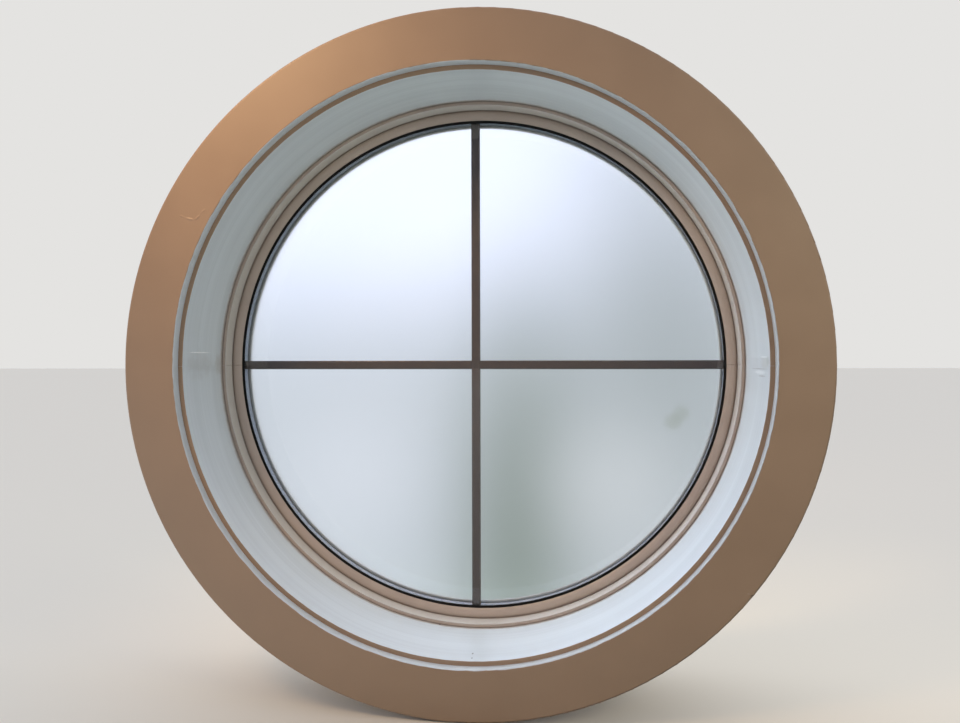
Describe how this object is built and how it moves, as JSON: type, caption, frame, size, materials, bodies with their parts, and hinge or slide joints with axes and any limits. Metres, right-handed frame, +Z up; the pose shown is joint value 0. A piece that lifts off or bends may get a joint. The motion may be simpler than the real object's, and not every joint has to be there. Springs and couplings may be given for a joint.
{
  "type": "porthole window",
  "caption": "Round fixed window with a vinyl frame, deep jamb liner and flat casing ring, glazed with a frosted sealed unit and a cross grille between its panes.",
  "frame": {"origin": "centre of the circle of fin holes, on the window's axis, in the plane where the nailing fin bears on the outside of the wall", "axes": "+X to the right as seen from the room, +Y along the window's axis out to the weather side, +Z up"},
  "size_m": [0.988, 0.2246, 0.988],
  "materials": {
    "casing_paint": "semi-gloss tan paint on board",
    "jamb_paint": "semi-gloss off-white paint on board",
    "vinyl": "satin almond extruded vinyl",
    "clear_glass": "clear float glass",
    "frosted_glass": "float glass etched white on its cavity side",
    "gasket_rubber": "black extruded rubber",
    "tape_foam": "dark closed-cell foam",
    "spacer_aluminium": "dull mill finish",
    "muntin_bronze": "dark bronze baked paint",
    "clip_nylon": "moulded nylon",
    "desiccant": "packed beads",
    "butyl": "tacky black",
    "sealant": "cured black sealant",
    "block_rubber": "firm moulded rubber",
    "fastener_steel": "zinc plated"
  },
  "bodies": {
    "root": {"casing_ring": "casing_paint", "casing_brads": "fastener_steel", "jamb_upper": "jamb_paint", "jamb_lower": "jamb_paint", "jamb_screws": "fastener_steel", "frame_upper": "vinyl", "frame_lower": "vinyl", "bead_upper": "vinyl", "bead_lower": "vinyl", "glazing_gasket": "gasket_rubber", "glazing_tape": "tape_foam", "inner_pane": "clear_glass", "outer_pane": "frosted_glass", "spacer_bar": "spacer_aluminium", "spacer_key": "clip_nylon", "desiccant_fill": "desiccant", "butyl_seal_inner": "butyl", "butyl_seal_outer": "butyl", "edge_sealant": "sealant", "muntin_vertical": "muntin_bronze", "muntin_horizontal": "muntin_bronze", "muntin_clip_right": "clip_nylon", "muntin_clip_top": "clip_nylon", "muntin_clip_left": "clip_nylon", "muntin_clip_bottom": "clip_nylon", "setting_block_left": "block_rubber", "setting_block_right": "block_rubber", "weep_cover_left": "vinyl", "weep_cover_right": "vinyl"}
  },
  "joints": []
}
